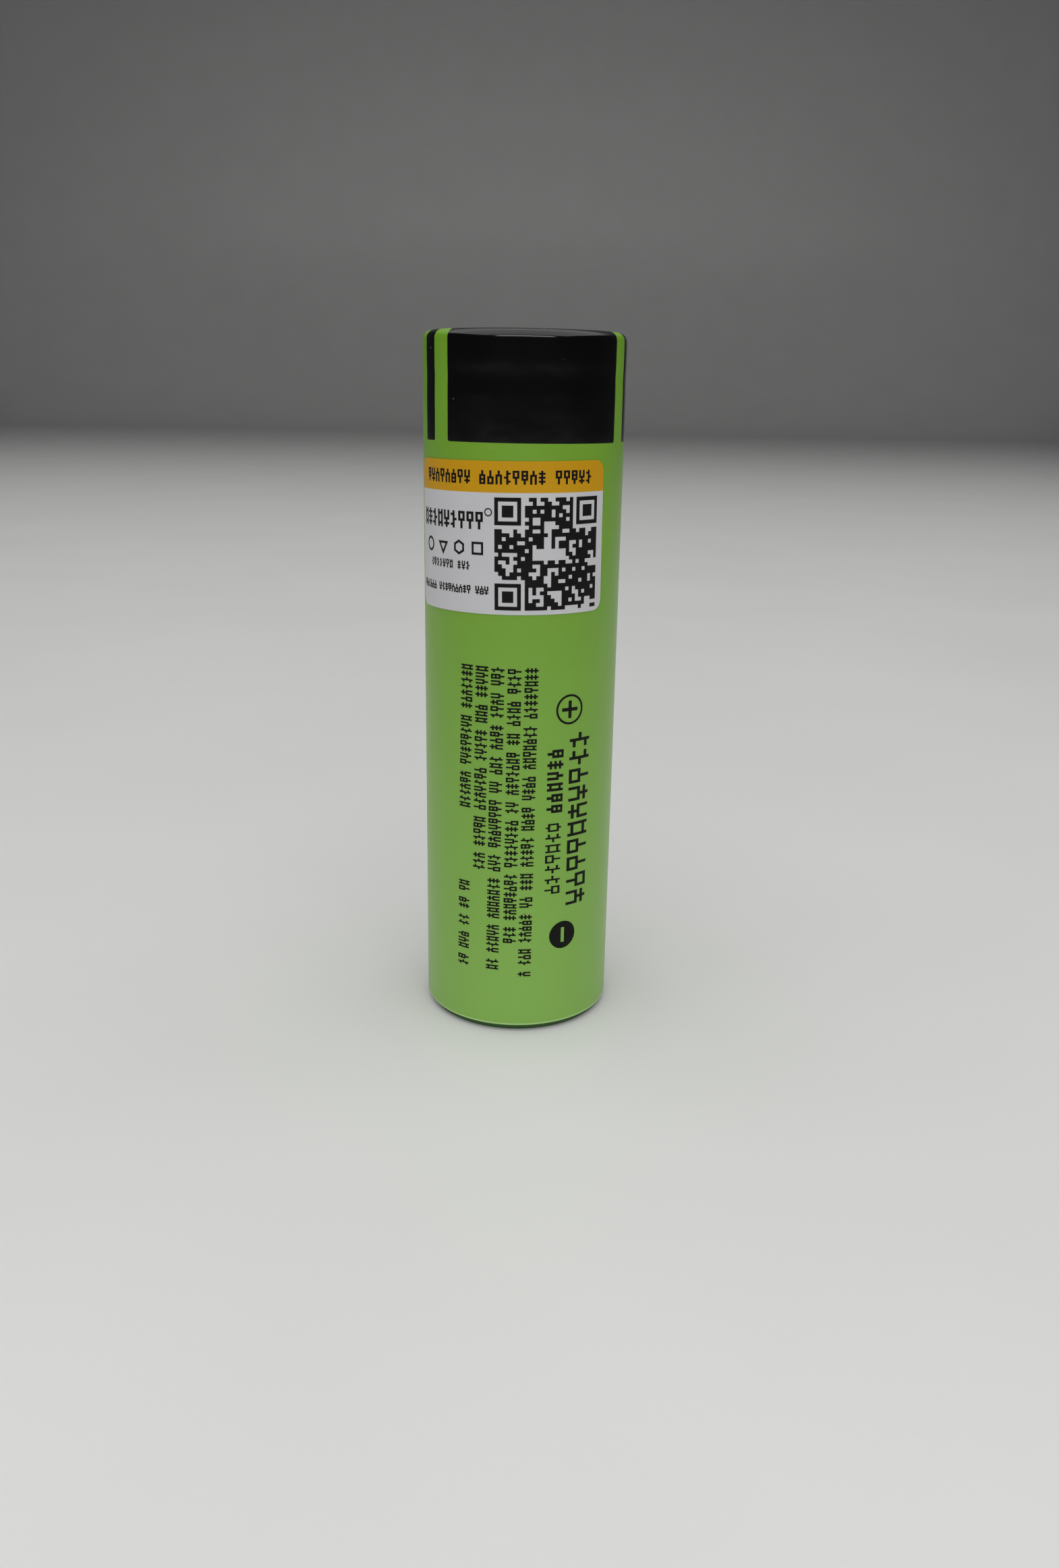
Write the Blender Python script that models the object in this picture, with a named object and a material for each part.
"""A cylindrical lithium-ion cell, 18.4 mm across and 65.3 mm tall, as its separate real pieces.

The cell stands on its negative end at the origin, with +Z towards the positive cap.
Its printed front and its sticker face -Y. All lengths are in metres.
"""
import math

import bmesh
import bpy

MM = 0.001
CLEAR = 0.04 * MM  # gap kept between two pieces that touch on the real cell
WELD = 0.0005 * MM  # points closer than this are one

# Outside of the cell
SLEEVE_R = 9.2 * MM
SLEEVE_WALL = 0.1 * MM
SLEEVE_TOP = 65.15 * MM
SLEEVE_TOP_BEND = 0.8 * MM
SLEEVE_FOOT_BEND = 0.7 * MM
TOP_FOLD_R = 6.6 * MM  # inner edge of the fold over the positive end
FOOT_FOLD_R = 7.0 * MM  # inner edge of the fold under the negative end
CAP_TOP = 65.3 * MM

# Sticker on the front
LABEL_FROM = -76.0  # degrees about Z from the front, positive towards +X
LABEL_TO = 50.0
LABEL_LOW = 41.22 * MM
LABEL_HIGH = 54.42 * MM
LABEL_CORNER = 1.2 * MM
LABEL_GAP = 0.03 * MM
LABEL_THICK = 0.08 * MM
LABEL_TILT = 0.011  # rise of its edges towards +X, per metre along them
LABEL_STRIPS = 16  # flats along its straight edges

# Can
CAN_R = SLEEVE_R - SLEEVE_WALL - CLEAR
CAN_WALL = 0.22 * MM
CAN_MID_R = CAN_R - CAN_WALL / 2
CAN_INNER_R = CAN_R - CAN_WALL
CAN_FOOT = SLEEVE_WALL + CLEAR  # underside of the can where the sleeve folds under it
CAN_FOOT_BEND = 0.51 * MM
PAD_R = 6.3 * MM  # the bare centre of the bottom
PAD_EDGE_R = 6.4 * MM
PAD_DROP = 0.05 * MM  # how far the bare centre stands proud of the edge
BEAD_Z = 61.2 * MM
BEAD_HALF = 0.75 * MM
BEAD_DEPTH = 1.0 * MM
BEAD_STEPS = 8
LIP_R = 7.0 * MM
LIP_BEND = 0.64 * MM

# Closure, counted down from the sleeve's top fold
WASHER_TOP = SLEEVE_TOP - SLEEVE_WALL - CLEAR
WASHER_THICK = 0.2 * MM
WASHER_R = 8.3 * MM
WASHER_HOLE_R = 5.5 * MM
LIP_TOP = WASHER_TOP - WASHER_THICK - CLEAR
GASKET_R = CAN_INNER_R - CLEAR
GASKET_WALL = 0.45 * MM
GASKET_FLANGE = 0.3 * MM
GASKET_TOP = LIP_TOP - CAN_WALL - CLEAR
GASKET_FOOT = 61.9 * MM
GASKET_TOP_HOLE_R = 6.7 * MM
GASKET_FOOT_HOLE_R = 7.1 * MM
GASKET_BEVEL_R = 0.3 * MM  # its lower corner, cut back to sit on the bead
GASKET_BEVEL_Z = 0.2 * MM
STACK_R = GASKET_R - GASKET_WALL - CLEAR
CAP_THICK = 0.4 * MM
CAP_FLANGE_TOP = GASKET_TOP - GASKET_FLANGE - CLEAR
CAP_FLAT_R = 3.9 * MM
CAP_EDGE_R = 4.1 * MM
CAP_EDGE_DROP = 0.12 * MM
CAP_WALL_R = 4.65 * MM  # foot of the sloping wall
CAP_ROOT_RISE = 0.15 * MM
CAP_ROOT_R = 4.9 * MM
CAP_WINDOWS = 4
WINDOW_WIDTH = 2.2 * MM
WINDOW_SPAN = (CAP_FLANGE_TOP + 0.12 * MM, CAP_FLANGE_TOP + 0.61 * MM)
WINDOW_REACH = (3.4 * MM, 5.6 * MM)  # how far the cut runs out from the axis
PTC_THICK = 0.35 * MM
PTC_TOP = CAP_FLANGE_TOP - CAP_THICK - CLEAR
PTC_HOLE_R = 5.0 * MM
VENT_THICK = 0.35 * MM
VENT_TOP = PTC_TOP - PTC_THICK - CLEAR
VENT_HOLE_R = 4.66 * MM
DOME_R = 4.6 * MM
DOME_THICK = 0.25 * MM
DOME_FLAT_R = 1.6 * MM
DOME_SLOPE_R = 3.7 * MM
DOME_DISH = 0.34 * MM
CID_RING_THICK = 0.3 * MM
CID_RING_TOP = VENT_TOP - VENT_THICK - CLEAR
CID_RING_HOLE_R = 5.4 * MM
CID_DISC_THICK = 0.35 * MM
CID_DISC_TOP = CID_RING_TOP - CID_RING_THICK - CLEAR
CID_HOLES = 6
CID_HOLE_R = 0.7 * MM
CID_HOLE_RING_R = 4.0 * MM

# Winding
TURNS = 7
TURN_STEPS = 20
ELECTRODE_THICK = 0.26 * MM
SEPARATOR_THICK = 0.06 * MM
LAYER_GAP = 0.04 * MM
ROLL_CORE_R = 1.95 * MM
ROLL_END = 90.0  # degrees from the front, where the layers start and end
PITCH = 2 * ELECTRODE_THICK + 2 * SEPARATOR_THICK + 4 * LAYER_GAP
SEPARATOR_SPAN = (1.1 * MM, 59.5 * MM)
ANODE_SPAN = (1.7 * MM, 58.9 * MM)
CATHODE_SPAN = (2.2 * MM, 58.4 * MM)
ROLL_R = ROLL_CORE_R + (TURNS + 1) * PITCH - LAYER_GAP

# Plates, tabs, tape and pin
PLATE_THICK = 0.3 * MM
TOP_PLATE_R = 8.5 * MM
TOP_PLATE_HOLE_R = 2.6 * MM
TOP_PLATE_FOOT = 59.8 * MM
PLATE_HOLES = 3
PLATE_HOLE_R = 1.1 * MM
PLATE_HOLE_RING_R = 5.6 * MM
FOOT_PLATE_R = 8.2 * MM
FOOT_PLATE_HOLE_R = 1.3 * MM
TAB_THICK = 0.12 * MM
TAB_BEND = 0.3 * MM
TAB_STRIPS = 4  # flats across a tab
TAB_ANGLE = 70.0  # where the negative tab leaves the winding
NEGATIVE_TAB_HALF = 2.0 * MM
NEGATIVE_TAB_TOP = 18.0 * MM
NEGATIVE_TAB_PAST = 1.2 * MM  # how far it runs past the axis
POSITIVE_TAB_HALF = 1.2 * MM
POSITIVE_TAB_FOOT = 48.0 * MM
POSITIVE_TAB_REACH = 3.4 * MM
TAPE_THICK = 0.06 * MM
TAPE_FROM = -60.0
TAPE_TO = 42.0
TAPE_STEPS = 16
TAPE_SPAN = (14.0 * MM, 46.0 * MM)
TAB_TAPE_TURN = 45.0
TAB_TAPE_STEPS = 6
TAB_TAPE_SPAN = (6.0 * MM, 20.0 * MM)
PIN_R = 1.4 * MM
PIN_WALL = 0.15 * MM
PIN_SLIT = 24.0
PIN_STEPS = 20
PIN_SPAN = (1.6 * MM, 57.0 * MM)

ROUND = 40  # flats around the sleeve and the can
INNER_ROUND = 36  # flats around the closure's rings and discs
ROD_SIDES = 12
ROD_LENGTH = 2.0 * MM


def clear_scene():
    """Leave an empty scene."""
    for old in list(bpy.data.objects):
        bpy.data.objects.remove(old, do_unlink=True)


def finish(name, colour, roughness, metallic):
    """A plain material for one piece."""
    material = bpy.data.materials.new(name)
    material.use_nodes = True
    shader = material.node_tree.nodes["Principled BSDF"]
    shader.inputs["Base Color"].default_value = (*colour, 1.0)
    shader.inputs["Roughness"].default_value = roughness
    shader.inputs["Metallic"].default_value = metallic
    material.diffuse_color = (*colour, 1.0)
    return material


def piece(name, bm, material, closed=True):
    """Add the mesh to the scene as one piece; a closed one has its seam welded and faces turned outward."""
    if closed:
        bmesh.ops.remove_doubles(bm, verts=bm.verts, dist=WELD)
        bmesh.ops.recalc_face_normals(bm, faces=bm.faces)
    mesh = bpy.data.meshes.new(name)
    bm.to_mesh(mesh)
    bm.free()
    mesh.shade_smooth()
    mesh.set_sharp_from_angle(angle=math.radians(35))
    mesh.materials.append(material)
    made = bpy.data.objects.new(name, mesh)
    bpy.context.scene.collection.objects.link(made)
    return made


def arc(centre_r, centre_z, radius, start, end, steps):
    """Points (r, z) along an arc, from start to end in degrees."""
    points = []
    for i in range(steps + 1):
        angle = math.radians(start + (end - start) * i / steps)
        points.append((centre_r + radius * math.cos(angle), centre_z + radius * math.sin(angle)))
    return points


def thickened(path, thickness):
    """Closed outline of a sheet whose middle line is path; ends are cut square."""
    left, right = [], []
    for i, (r, z) in enumerate(path):
        before = path[max(i - 1, 0)]
        after = path[min(i + 1, len(path) - 1)]
        in_run = (r - before[0], z - before[1]) if i else (after[0] - r, after[1] - z)
        out_run = (after[0] - r, after[1] - z) if i < len(path) - 1 else in_run
        in_len = math.hypot(*in_run)
        out_len = math.hypot(*out_run)
        n_in = (-in_run[1] / in_len, in_run[0] / in_len)
        n_out = (-out_run[1] / out_len, out_run[0] / out_len)
        bend = 1 + n_in[0] * n_out[0] + n_in[1] * n_out[1]
        off = ((n_in[0] + n_out[0]) / bend, (n_in[1] + n_out[1]) / bend)
        left.append((r + off[0] * thickness / 2, z + off[1] * thickness / 2))
        right.append((r - off[0] * thickness / 2, z - off[1] * thickness / 2))
    return left + right[::-1]


def turned(name, outline, rounds, material):
    """A piece turned about Z from an outline of (r, z) points, which may start and end on the axis."""
    bm = bmesh.new()
    points = [bm.verts.new((r, 0.0, z)) for r, z in outline]
    on_axis = outline[0][0] < CLEAR / 2 and outline[-1][0] < CLEAR / 2
    edges = [bm.edges.new(pair) for pair in zip(points, points[1:])]
    if not on_axis:
        edges.append(bm.edges.new((points[-1], points[0])))
    bmesh.ops.spin(bm, geom=points + edges, cent=(0, 0, 0), axis=(0, 0, 1), angle=math.tau, steps=rounds,
                   use_merge=True)
    return piece(name, bm, material)


def ring(name, radii, heights, material):
    """A flat ring between two radii, or a disc where the first is 0."""
    inner_r, outer_r = radii
    foot, top = heights
    outline = [(inner_r, foot), (outer_r, foot), (outer_r, top), (inner_r, top)]
    return turned(name, outline, INNER_ROUND, material)


def on_front(angle, r, z):
    """The point at an angle in degrees from the front (-Y), positive towards +X."""
    turn = math.radians(angle)
    return (r * math.sin(turn), -r * math.cos(turn), z)


def extruded(bm, edges, move):
    """Extrude an open run of edges by move and give the new run."""
    grown = bmesh.ops.extrude_edge_only(bm, edges=edges)["geom"]
    points = {item for item in grown if isinstance(item, bmesh.types.BMVert)}
    bmesh.ops.translate(bm, verts=list(points), vec=move)
    return [item for item in grown if isinstance(item, bmesh.types.BMEdge) and points.issuperset(item.verts)]


def sheet_piece(name, bm, thickness, material):
    """An open sheet that faces away from the axis, given its thickness on that side."""
    bm.normal_update()
    outward = sum(face.normal.x * face.calc_center_median().x + face.normal.y * face.calc_center_median().y
                  for face in bm.faces)
    if outward < 0:
        bmesh.ops.reverse_faces(bm, faces=bm.faces)
    made = piece(name, bm, material, closed=False)
    wall = made.modifiers.new("wall", "SOLIDIFY")
    wall.thickness = thickness
    wall.offset = 1.0
    wall.use_even_offset = True
    return made


def upright_sheet(name, plan, span, thickness, material):
    """A sheet standing along plan, an open line of (x, y) points, from span's lower to its upper height."""
    bm = bmesh.new()
    points = [bm.verts.new((x, y, span[0])) for x, y in plan]
    edges = [bm.edges.new(pair) for pair in zip(points, points[1:])]
    extruded(bm, edges, (0, 0, span[1] - span[0]))
    return sheet_piece(name, bm, thickness, material)


def bend_line(radius_at, start, end, steps):
    """A line of (x, y) points round the axis, from start to end in degrees from the front."""
    line = []
    for i in range(steps + 1):
        angle = start + (end - start) * i / steps
        x, y, _ = on_front(angle, radius_at(angle), 0.0)
        line.append((x, y))
    return line


def roll_face(angle):
    """Radius of the winding's outer face at an angle before its end."""
    return ROLL_R - PITCH * (ROLL_END - angle) / 360


def tab(name, path, dish_r, half_width, turn, material):
    """A metal strip whose inner face follows path (r, z), dished across its width to dish_r."""
    bm = bmesh.new()
    points = [bm.verts.new((r, -half_width, z)) for r, z in path]
    run = [bm.edges.new(pair) for pair in zip(points, points[1:])]
    for _ in range(TAB_STRIPS):
        run = extruded(bm, run, (0, 2 * half_width / TAB_STRIPS, 0))
    for point in bm.verts:
        lean = point.co.y / dish_r
        point.co.x += dish_r * (math.cos(lean) - 1)
        point.co.y = dish_r * math.sin(lean)
    made = piece(name, bm, material, closed=False)
    made.rotation_euler.z = turn
    wall = made.modifiers.new("wall", "SOLIDIFY")
    wall.thickness = TAB_THICK
    wall.offset = 0.0
    wall.use_even_offset = True
    return made


def cut(target, cutters):
    """Take each cutter out of target."""
    for cutter in cutters:
        modifier = target.modifiers.new("cut", "BOOLEAN")
        modifier.operation = "DIFFERENCE"
        modifier.solver = "EXACT"
        modifier.object = cutter
        cutter.hide_render = True
        cutter.display_type = "WIRE"


def cutter_finish():
    """The grey of every cutter."""
    return bpy.data.materials.get("cutter") or finish("cutter", (0.5, 0.5, 0.5), 0.5, 0.0)


def cutter_rods(name, count, rod_r, ring_r, height):
    """Upright rods for round holes, evenly spaced on a ring about the axis, each centred at height."""
    rods = []
    for i in range(count):
        turn = math.tau * (i + 0.5) / count
        x, y = ring_r * math.cos(turn), ring_r * math.sin(turn)
        bm = bmesh.new()
        bmesh.ops.create_cone(bm, cap_ends=True, segments=ROD_SIDES, radius1=rod_r, radius2=rod_r, depth=ROD_LENGTH)
        bmesh.ops.translate(bm, verts=bm.verts, vec=(x, y, height))
        rods.append(piece(f"{name}_{i}", bm, cutter_finish()))
    return rods


def window_cutter(name, turn):
    """A block standing out from the axis, for a window in the cap's wall."""
    low, high = WINDOW_SPAN
    near, far = WINDOW_REACH
    bm = bmesh.new()
    bmesh.ops.create_cube(bm, size=1.0)
    bmesh.ops.scale(bm, verts=bm.verts, vec=(far - near, WINDOW_WIDTH, high - low))
    bmesh.ops.translate(bm, verts=bm.verts, vec=((near + far) / 2, 0, (low + high) / 2))
    made = piece(name, bm, cutter_finish())
    made.rotation_euler.z = turn
    return made


def shrink_sleeve():
    """Green printed sleeve, drawn in over both ends."""
    half = SLEEVE_WALL / 2
    path = [(FOOT_FOLD_R, half)]
    path += arc(SLEEVE_R - SLEEVE_FOOT_BEND, SLEEVE_FOOT_BEND, SLEEVE_FOOT_BEND - half, -90, 0, 4)
    path += arc(SLEEVE_R - SLEEVE_TOP_BEND, SLEEVE_TOP - SLEEVE_TOP_BEND, SLEEVE_TOP_BEND - half, 0, 90, 4)
    path += [(TOP_FOLD_R, SLEEVE_TOP - half)]
    outline = thickened(path, SLEEVE_WALL)
    turned("shrink_sleeve", outline, ROUND, finish("sleeve_film", (0.13, 0.28, 0.04), 0.35, 0.0))


def label_sticker():
    """Sticker with rounded corners: cut flat, sliced into strips, sheared and bent round the sleeve."""
    inner_r = SLEEVE_R + LABEL_GAP
    left = math.radians(LABEL_FROM) * inner_r
    right = math.radians(LABEL_TO) * inner_r
    corners = ((left, LABEL_LOW), (right, LABEL_LOW), (right, LABEL_HIGH), (left, LABEL_HIGH))
    bm = bmesh.new()
    bm.faces.new([bm.verts.new((along, 0.0, z)) for along, z in corners])
    bmesh.ops.bevel(bm, geom=bm.verts[:], offset=LABEL_CORNER, segments=3, profile=0.5, affect="VERTICES")
    slices = {round(point.co.x, 7) for point in bm.verts}
    inside = (left + LABEL_CORNER, right - LABEL_CORNER)
    slices |= {inside[0] + (inside[1] - inside[0]) * i / LABEL_STRIPS for i in range(1, LABEL_STRIPS)}
    for along in sorted(slices):
        geometry = bm.verts[:] + bm.edges[:] + bm.faces[:]
        bmesh.ops.bisect_plane(bm, geom=geometry, dist=WELD, plane_co=(along, 0, 0), plane_no=(1, 0, 0))
    for point in bm.verts:
        along, z = point.co.x, point.co.z
        point.co = on_front(math.degrees(along / inner_r), inner_r, z + LABEL_TILT * along)
    sheet_piece("label_sticker", bm, LABEL_THICK, finish("label_paper", (0.62, 0.62, 0.62), 0.5, 0.0))


def can():
    """Drawn steel can: bare bottom, straight wall, bead groove and crimped lip."""
    half = CAN_WALL / 2
    foot = CAN_FOOT + half
    path = [(0.0, foot - PAD_DROP), (PAD_R, foot - PAD_DROP), (PAD_EDGE_R, foot)]
    path += arc(CAN_MID_R - CAN_FOOT_BEND, foot + CAN_FOOT_BEND, CAN_FOOT_BEND, -90, 0, 3)
    for i in range(BEAD_STEPS + 1):
        along = 2 * i / BEAD_STEPS - 1
        dent = BEAD_DEPTH * (1 + math.cos(math.pi * along)) / 2
        path.append((CAN_MID_R - dent, BEAD_Z + BEAD_HALF * along))
    lip_mid = LIP_TOP - half
    path += arc(CAN_MID_R - LIP_BEND, lip_mid - LIP_BEND, LIP_BEND, 0, 90, 3)
    path += [(LIP_R, lip_mid)]
    outline = thickened(path, CAN_WALL)
    turned("can", outline, ROUND, finish("can_steel", (0.62, 0.6, 0.56), 0.3, 1.0))


def insulator_washer():
    """White washer between the sleeve's fold and the crimped lip."""
    white = finish("washer_white", (0.8, 0.8, 0.78), 0.6, 0.0)
    ring("insulator_washer", (WASHER_HOLE_R, WASHER_R), (WASHER_TOP - WASHER_THICK, WASHER_TOP), white)


def positive_cap():
    """Flat-top cap with vent windows in its sloping wall."""
    half = CAP_THICK / 2
    top = CAP_TOP - half
    flange = CAP_FLANGE_TOP - half
    path = [(0.0, top), (CAP_FLAT_R, top), (CAP_EDGE_R, top - CAP_EDGE_DROP)]
    path += [(CAP_WALL_R, flange + CAP_ROOT_RISE), (CAP_ROOT_R, flange), (STACK_R, flange)]
    outline = thickened(path, CAP_THICK)
    made = turned("positive_cap", outline, INNER_ROUND, finish("cap_nickel", (0.68, 0.66, 0.61), 0.25, 1.0))
    turns = [math.tau * (i + 0.5) / CAP_WINDOWS for i in range(CAP_WINDOWS)]
    cut(made, [window_cutter(f"window_cutter_{i}", turn) for i, turn in enumerate(turns)])


def crimp_gasket():
    """Plastic ring that seals and insulates the closure inside the crimp."""
    inner_r = GASKET_R - GASKET_WALL
    bend = LIP_BEND - CAN_WALL / 2 - CLEAR
    outline = [(GASKET_FOOT_HOLE_R, GASKET_FOOT), (GASKET_R - GASKET_BEVEL_R, GASKET_FOOT)]
    outline += [(GASKET_R, GASKET_FOOT + GASKET_BEVEL_Z)]
    outline += arc(GASKET_R - bend, GASKET_TOP - bend, bend, 0, 90, 3)
    outline += [(GASKET_TOP_HOLE_R, GASKET_TOP), (GASKET_TOP_HOLE_R, GASKET_TOP - GASKET_FLANGE)]
    outline += [(inner_r, GASKET_TOP - GASKET_FLANGE), (inner_r, GASKET_FOOT + GASKET_FLANGE)]
    outline += [(GASKET_FOOT_HOLE_R, GASKET_FOOT + GASKET_FLANGE)]
    turned("crimp_gasket", outline, INNER_ROUND, finish("gasket_plastic", (0.7, 0.72, 0.74), 0.5, 0.0))


def closure_stack():
    """The discs and rings that the crimp holds under the cap, from the top down."""
    aluminium = finish("vent_aluminium", (0.75, 0.76, 0.77), 0.35, 1.0)
    ring("ptc_ring", (PTC_HOLE_R, STACK_R), (PTC_TOP - PTC_THICK, PTC_TOP),
         finish("ptc_polymer", (0.05, 0.05, 0.055), 0.6, 0.0))
    ring("vent_disc_rim", (VENT_HOLE_R, STACK_R), (VENT_TOP - VENT_THICK, VENT_TOP), aluminium)
    ring("cid_insulator_ring", (CID_RING_HOLE_R, STACK_R), (CID_RING_TOP - CID_RING_THICK, CID_RING_TOP),
         finish("cid_plastic", (0.75, 0.75, 0.72), 0.5, 0.0))
    disc = ring("cid_lower_disc", (0.0, STACK_R), (CID_DISC_TOP - CID_DISC_THICK, CID_DISC_TOP), aluminium)
    cut(disc, cutter_rods("gas_hole_cutter", CID_HOLES, CID_HOLE_R, CID_HOLE_RING_R, CID_DISC_TOP))


def vent_dome():
    """Dished centre of the pressure disc; it lifts along Z when the interrupt trips."""
    rim_z = VENT_TOP - VENT_THICK + CLEAR + DOME_THICK / 2
    centre_z = rim_z - DOME_DISH
    path = [(0.0, centre_z), (DOME_FLAT_R, centre_z), (DOME_SLOPE_R, rim_z), (DOME_R, rim_z)]
    outline = thickened(path, DOME_THICK)
    turned("vent_dome", outline, INNER_ROUND, finish("dome_aluminium", (0.77, 0.78, 0.79), 0.3, 1.0))


def winding():
    """Cathode, separator, anode and separator, wound together from the core outward."""
    layers = (
        ("cathode_sheet", ELECTRODE_THICK, CATHODE_SPAN, (0.03, 0.03, 0.035), 0.8),
        ("inner_separator", SEPARATOR_THICK, SEPARATOR_SPAN, (0.85, 0.85, 0.83), 0.5),
        ("anode_sheet", ELECTRODE_THICK, ANODE_SPAN, (0.06, 0.055, 0.05), 0.7),
        ("outer_separator", SEPARATOR_THICK, SEPARATOR_SPAN, (0.85, 0.85, 0.83), 0.5),
    )
    start_r = ROLL_CORE_R
    for name, thickness, span, colour, roughness in layers:
        plan = bend_line(
            lambda angle: start_r + PITCH * (angle - ROLL_END) / 360,
            ROLL_END,
            ROLL_END + 360 * TURNS,
            TURNS * TURN_STEPS,
        )
        upright_sheet(name, plan, span, thickness, finish(f"{name}_film", colour, roughness, 0.0))
        start_r += thickness + LAYER_GAP


def winding_tape():
    """Tape that holds the end of the winding."""
    plan = bend_line(lambda angle: roll_face(angle) + CLEAR, TAPE_FROM, TAPE_TO, TAPE_STEPS)
    amber = finish("tape_film", (0.75, 0.6, 0.2), 0.4, 0.0)
    upright_sheet("winding_tape", plan, TAPE_SPAN, TAPE_THICK, amber)


def negative_tab():
    """Nickel strip down the winding's side and across the can's bottom, under its own tape."""
    mid_r = ROLL_R + CLEAR + TAB_THICK / 2
    foot_z = CAN_FOOT + CAN_WALL + CLEAR + TAB_THICK / 2
    path = [(mid_r, NEGATIVE_TAB_TOP)]
    path += arc(mid_r - TAB_BEND, foot_z + TAB_BEND, TAB_BEND, 0, -90, 3)
    path += [(-NEGATIVE_TAB_PAST, foot_z)]
    nickel = finish("tab_nickel", (0.66, 0.64, 0.6), 0.3, 1.0)
    tab("negative_tab", path, mid_r, NEGATIVE_TAB_HALF, math.radians(TAB_ANGLE - 90), nickel)
    cover_r = mid_r + TAB_THICK / 2 + CLEAR
    half = TAB_TAPE_TURN / 2
    plan = bend_line(lambda angle: cover_r, TAB_ANGLE - half, TAB_ANGLE + half, TAB_TAPE_STEPS)
    amber = finish("tab_tape_film", (0.75, 0.6, 0.2), 0.4, 0.0)
    upright_sheet("negative_tab_tape", plan, TAB_TAPE_SPAN, TAPE_THICK, amber)


def positive_tab():
    """Aluminium strip up out of the core and along the underside of the lower interrupt disc."""
    mid_r = ROLL_CORE_R - CLEAR - TAB_THICK / 2
    head_z = CID_DISC_TOP - CID_DISC_THICK - CLEAR - TAB_THICK / 2
    path = [(mid_r, POSITIVE_TAB_FOOT)]
    path += arc(mid_r + TAB_BEND, head_z - TAB_BEND, TAB_BEND, 180, 90, 3)
    path += [(POSITIVE_TAB_REACH, head_z)]
    aluminium = finish("tab_aluminium", (0.77, 0.77, 0.78), 0.35, 1.0)
    tab("positive_tab", path, mid_r, POSITIVE_TAB_HALF, math.pi, aluminium)


def plates():
    """Insulating plates below and above the winding."""
    plastic = finish("plate_plastic", (0.8, 0.8, 0.76), 0.5, 0.0)
    foot = CAN_FOOT + CAN_WALL + TAB_THICK + 2 * CLEAR
    ring("bottom_insulator_plate", (FOOT_PLATE_HOLE_R, FOOT_PLATE_R), (foot, foot + PLATE_THICK), plastic)
    top = ring("top_insulator_plate", (TOP_PLATE_HOLE_R, TOP_PLATE_R),
               (TOP_PLATE_FOOT, TOP_PLATE_FOOT + PLATE_THICK), plastic)
    cut(top, cutter_rods("plate_hole_cutter", PLATE_HOLES, PLATE_HOLE_R, PLATE_HOLE_RING_R, TOP_PLATE_FOOT))


def centre_pin():
    """Slit steel tube that keeps the core open for gas."""
    plan = bend_line(lambda angle: PIN_R - PIN_WALL, PIN_SLIT / 2, 360 - PIN_SLIT / 2, PIN_STEPS)
    steel = finish("pin_steel", (0.55, 0.55, 0.56), 0.35, 1.0)
    upright_sheet("centre_pin", plan, PIN_SPAN, PIN_WALL, steel)


def main():
    """Build the cell from the outside in."""
    clear_scene()
    shrink_sleeve()
    label_sticker()
    can()
    insulator_washer()
    positive_cap()
    crimp_gasket()
    closure_stack()
    vent_dome()
    winding()
    winding_tape()
    negative_tab()
    positive_tab()
    plates()
    centre_pin()


main()
